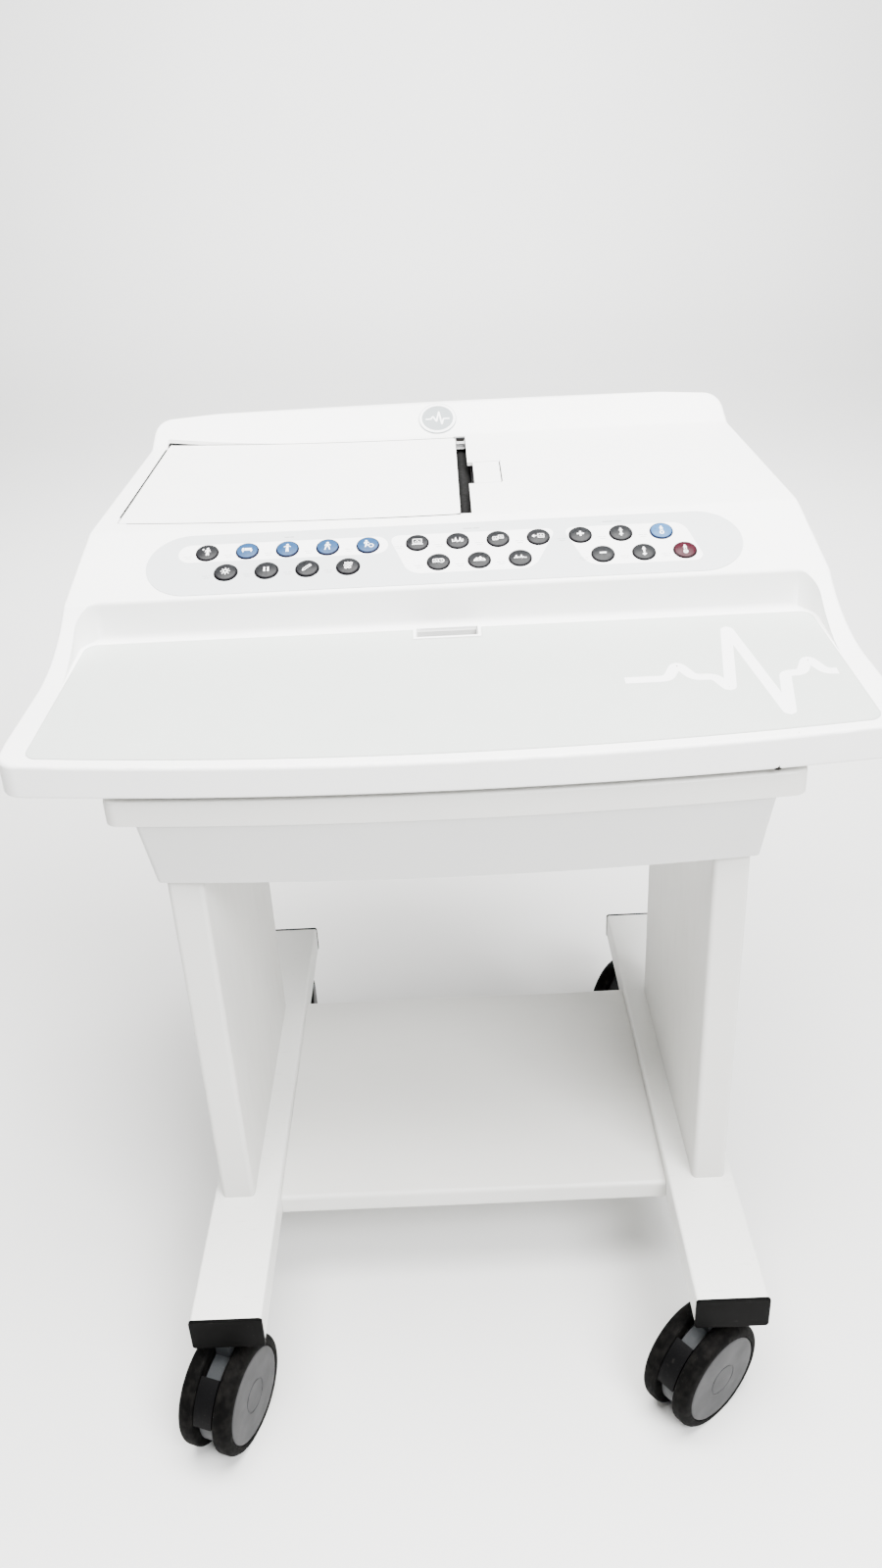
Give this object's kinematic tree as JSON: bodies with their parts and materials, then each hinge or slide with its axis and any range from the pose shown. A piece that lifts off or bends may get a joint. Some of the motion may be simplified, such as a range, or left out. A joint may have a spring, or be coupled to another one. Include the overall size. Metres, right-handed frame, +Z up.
{
  "type": "exercise test console",
  "caption": "Exercise-test heart console: sloping keyboard tray, domed keypad and chart writer under a hinged door, on an open trolley with swivelling twin-wheel casters.",
  "frame": {"origin": "on the floor below the middle of the bounding box", "axes": "+Z up, -Y towards the operator at the keypad, +X to the operator's right"},
  "size_m": [0.804, 0.8079, 0.8773],
  "materials": {
    "powder_white": "satin powder coat",
    "black_plastic": "satin",
    "laminate_white": "satin laminate",
    "apron_white": "satin",
    "zinc_steel": "zinc plated",
    "housing_grey": "satin",
    "hub_grey": "satin",
    "tyre_black": "matte",
    "pedal_black": "satin",
    "base_white": "fine texture",
    "casing_white": "satin",
    "mat_film": "satin film",
    "keypad_film": "satin film",
    "badge_grey": "gloss",
    "bed_black": "matte",
    "roller_rubber": "matte",
    "motor_metal": "satin",
    "head_aluminium": "satin",
    "board_green": "solder mask",
    "supply_steel": "satin",
    "panel_grey": "satin",
    "key_blue": "gloss",
    "key_light_blue": "gloss",
    "key_maroon": "gloss",
    "key_grey": "gloss"
  },
  "bodies": {
    "trolley": {"left_rail": "powder_white", "right_rail": "powder_white", "rail_end_caps": "black_plastic", "left_side_panel": "laminate_white", "right_side_panel": "laminate_white", "lower_shelf": "laminate_white", "apron": "apron_white", "cart_top_plate": "laminate_white", "fasteners": "zinc_steel", "caster_stems": "zinc_steel", "console_base": "base_white", "console_shell": "casing_white", "tray_mat": "mat_film", "keypad_overlay": "keypad_film", "badge": "badge_grey", "paper_bed": "bed_black", "writer_motor": "motor_metal", "print_head": "head_aluminium", "circuit_boards": "board_green", "power_supply": "supply_steel", "rear_panel": "panel_grey"},
    "door": {"printer_door": "casing_white"},
    "release_button": {"door_release_button": "casing_white"},
    "platen": {"platen_roller": "roller_rubber"},
    "front_left_caster": {"front_left_caster_housing": "housing_grey"},
    "front_right_caster": {"front_right_caster_housing": "housing_grey"},
    "rear_left_caster": {"rear_left_caster_housing": "housing_grey"},
    "rear_right_caster": {"rear_right_caster_housing": "housing_grey"},
    "front_left_wheel_set": {"front_left_wheels": "hub_grey", "front_left_tyres": "tyre_black"},
    "front_right_wheel_set": {"front_right_wheels": "hub_grey", "front_right_tyres": "tyre_black"},
    "rear_left_wheel_set": {"rear_left_wheels": "hub_grey", "rear_left_tyres": "tyre_black"},
    "rear_right_wheel_set": {"rear_right_wheels": "hub_grey", "rear_right_tyres": "tyre_black"},
    "front_left_pedal": {"front_left_brake_pedal": "pedal_black"},
    "front_right_pedal": {"front_right_brake_pedal": "pedal_black"},
    "test_key_top_1": {"test_key_top_1": "key_grey"},
    "test_key_top_2": {"test_key_top_2": "key_blue"},
    "test_key_top_3": {"test_key_top_3": "key_blue"},
    "test_key_top_4": {"test_key_top_4": "key_blue"},
    "test_key_top_5": {"test_key_top_5": "key_blue"},
    "test_key_bottom_1": {"test_key_bottom_1": "key_grey"},
    "test_key_bottom_2": {"test_key_bottom_2": "key_grey"},
    "test_key_bottom_3": {"test_key_bottom_3": "key_grey"},
    "test_key_bottom_4": {"test_key_bottom_4": "key_grey"},
    "report_key_top_1": {"report_key_top_1": "key_grey"},
    "report_key_top_2": {"report_key_top_2": "key_grey"},
    "report_key_top_3": {"report_key_top_3": "key_grey"},
    "report_key_top_4": {"report_key_top_4": "key_grey"},
    "report_key_bottom_1": {"report_key_bottom_1": "key_grey"},
    "report_key_bottom_2": {"report_key_bottom_2": "key_grey"},
    "report_key_bottom_3": {"report_key_bottom_3": "key_grey"},
    "control_key_top_1": {"control_key_top_1": "key_grey"},
    "control_key_top_2": {"control_key_top_2": "key_grey"},
    "control_key_top_3": {"control_key_top_3": "key_light_blue"},
    "control_key_bottom_1": {"control_key_bottom_1": "key_grey"},
    "control_key_bottom_2": {"control_key_bottom_2": "key_grey"},
    "control_key_bottom_3": {"control_key_bottom_3": "key_maroon"}
  },
  "joints": [
    {"name": "door_hinge", "type": "hinge", "parent": "trolley", "child": "door", "pos_m": [-0.34741, 0.14281, 0.81232], "axis": [-0.0942, -0.9837, -0.153], "range_deg": [0, 90]},
    {"name": "release_press", "type": "slide", "parent": "trolley", "child": "release_button", "axis": [0, 0.1537, -0.9881], "range_m": [0, 0.0025], "stiffness_N_per_m": 500},
    {"name": "platen_turn", "type": "hinge", "parent": "trolley", "child": "platen", "pos_m": [0.026, 0.23403, 0.80586], "axis": [0, 0.9881, 0.1537], "continuous": true},
    {"name": "front_left_swivel", "type": "hinge", "parent": "trolley", "child": "front_left_caster", "pos_m": [-0.245, -0.31404, 0.1273], "axis": [0, 0, 1], "continuous": true},
    {"name": "front_right_swivel", "type": "hinge", "parent": "trolley", "child": "front_right_caster", "pos_m": [0.245, -0.31404, 0.1273], "axis": [0, 0, 1], "continuous": true},
    {"name": "rear_left_swivel", "type": "hinge", "parent": "trolley", "child": "rear_left_caster", "pos_m": [-0.245, 0.27496, 0.1273], "axis": [0, 0, 1], "continuous": true},
    {"name": "rear_right_swivel", "type": "hinge", "parent": "trolley", "child": "rear_right_caster", "pos_m": [0.245, 0.27496, 0.1273], "axis": [0, 0, 1], "continuous": true},
    {"name": "front_left_roll", "type": "hinge", "parent": "front_left_caster", "child": "front_left_wheel_set", "pos_m": [-0.25513, -0.34281, 0.0573], "axis": [0.9432, -0.3322, 0], "continuous": true},
    {"name": "front_right_roll", "type": "hinge", "parent": "front_right_caster", "child": "front_right_wheel_set", "pos_m": [0.2214, -0.33336, 0.0573], "axis": [0.6334, -0.7738, 0], "continuous": true},
    {"name": "rear_left_roll", "type": "hinge", "parent": "rear_left_caster", "child": "rear_left_wheel_set", "pos_m": [-0.24234, 0.24457, 0.0573], "axis": [0.9962, 0.0872, 0], "continuous": true},
    {"name": "rear_right_roll", "type": "hinge", "parent": "rear_right_caster", "child": "rear_right_wheel_set", "pos_m": [0.22751, 0.24998, 0.0573], "axis": [0.8192, -0.5736, 0], "continuous": true},
    {"name": "front_left_brake", "type": "hinge", "parent": "front_left_caster", "child": "front_left_pedal", "pos_m": [-0.25513, -0.34281, 0.0573], "axis": [0.9432, -0.3322, 0], "range_deg": [0, 12]},
    {"name": "front_right_brake", "type": "hinge", "parent": "front_right_caster", "child": "front_right_pedal", "pos_m": [0.2214, -0.33336, 0.0573], "axis": [0.6334, -0.7738, 0], "range_deg": [0, 12]},
    {"name": "test_key_top_1_press", "type": "slide", "parent": "trolley", "child": "test_key_top_1", "axis": [0, 0.4219, -0.9066], "range_m": [0, 0.0015], "stiffness_N_per_m": 600},
    {"name": "test_key_top_2_press", "type": "slide", "parent": "trolley", "child": "test_key_top_2", "axis": [0, 0.4219, -0.9066], "range_m": [0, 0.0015], "stiffness_N_per_m": 600},
    {"name": "test_key_top_3_press", "type": "slide", "parent": "trolley", "child": "test_key_top_3", "axis": [0, 0.4219, -0.9066], "range_m": [0, 0.0015], "stiffness_N_per_m": 600},
    {"name": "test_key_top_4_press", "type": "slide", "parent": "trolley", "child": "test_key_top_4", "axis": [0, 0.4219, -0.9066], "range_m": [0, 0.0015], "stiffness_N_per_m": 600},
    {"name": "test_key_top_5_press", "type": "slide", "parent": "trolley", "child": "test_key_top_5", "axis": [0, 0.4219, -0.9066], "range_m": [0, 0.0015], "stiffness_N_per_m": 600},
    {"name": "test_key_bottom_1_press", "type": "slide", "parent": "trolley", "child": "test_key_bottom_1", "axis": [0, 0.4219, -0.9066], "range_m": [0, 0.0015], "stiffness_N_per_m": 600},
    {"name": "test_key_bottom_2_press", "type": "slide", "parent": "trolley", "child": "test_key_bottom_2", "axis": [0, 0.4219, -0.9066], "range_m": [0, 0.0015], "stiffness_N_per_m": 600},
    {"name": "test_key_bottom_3_press", "type": "slide", "parent": "trolley", "child": "test_key_bottom_3", "axis": [0, 0.4219, -0.9066], "range_m": [0, 0.0015], "stiffness_N_per_m": 600},
    {"name": "test_key_bottom_4_press", "type": "slide", "parent": "trolley", "child": "test_key_bottom_4", "axis": [0, 0.4219, -0.9066], "range_m": [0, 0.0015], "stiffness_N_per_m": 600},
    {"name": "report_key_top_1_press", "type": "slide", "parent": "trolley", "child": "report_key_top_1", "axis": [0, 0.4219, -0.9066], "range_m": [0, 0.0015], "stiffness_N_per_m": 600},
    {"name": "report_key_top_2_press", "type": "slide", "parent": "trolley", "child": "report_key_top_2", "axis": [0, 0.4219, -0.9066], "range_m": [0, 0.0015], "stiffness_N_per_m": 600},
    {"name": "report_key_top_3_press", "type": "slide", "parent": "trolley", "child": "report_key_top_3", "axis": [0, 0.4219, -0.9066], "range_m": [0, 0.0015], "stiffness_N_per_m": 600},
    {"name": "report_key_top_4_press", "type": "slide", "parent": "trolley", "child": "report_key_top_4", "axis": [0, 0.4219, -0.9066], "range_m": [0, 0.0015], "stiffness_N_per_m": 600},
    {"name": "report_key_bottom_1_press", "type": "slide", "parent": "trolley", "child": "report_key_bottom_1", "axis": [0, 0.4219, -0.9066], "range_m": [0, 0.0015], "stiffness_N_per_m": 600},
    {"name": "report_key_bottom_2_press", "type": "slide", "parent": "trolley", "child": "report_key_bottom_2", "axis": [0, 0.4219, -0.9066], "range_m": [0, 0.0015], "stiffness_N_per_m": 600},
    {"name": "report_key_bottom_3_press", "type": "slide", "parent": "trolley", "child": "report_key_bottom_3", "axis": [0, 0.4219, -0.9066], "range_m": [0, 0.0015], "stiffness_N_per_m": 600},
    {"name": "control_key_top_1_press", "type": "slide", "parent": "trolley", "child": "control_key_top_1", "axis": [0, 0.4219, -0.9066], "range_m": [0, 0.0015], "stiffness_N_per_m": 600},
    {"name": "control_key_top_2_press", "type": "slide", "parent": "trolley", "child": "control_key_top_2", "axis": [0, 0.4219, -0.9066], "range_m": [0, 0.0015], "stiffness_N_per_m": 600},
    {"name": "control_key_top_3_press", "type": "slide", "parent": "trolley", "child": "control_key_top_3", "axis": [0, 0.4219, -0.9066], "range_m": [0, 0.0015], "stiffness_N_per_m": 600},
    {"name": "control_key_bottom_1_press", "type": "slide", "parent": "trolley", "child": "control_key_bottom_1", "axis": [0, 0.4219, -0.9066], "range_m": [0, 0.0015], "stiffness_N_per_m": 600},
    {"name": "control_key_bottom_2_press", "type": "slide", "parent": "trolley", "child": "control_key_bottom_2", "axis": [0, 0.4219, -0.9066], "range_m": [0, 0.0015], "stiffness_N_per_m": 600},
    {"name": "control_key_bottom_3_press", "type": "slide", "parent": "trolley", "child": "control_key_bottom_3", "axis": [0, 0.4219, -0.9066], "range_m": [0, 0.0015], "stiffness_N_per_m": 600}
  ]
}
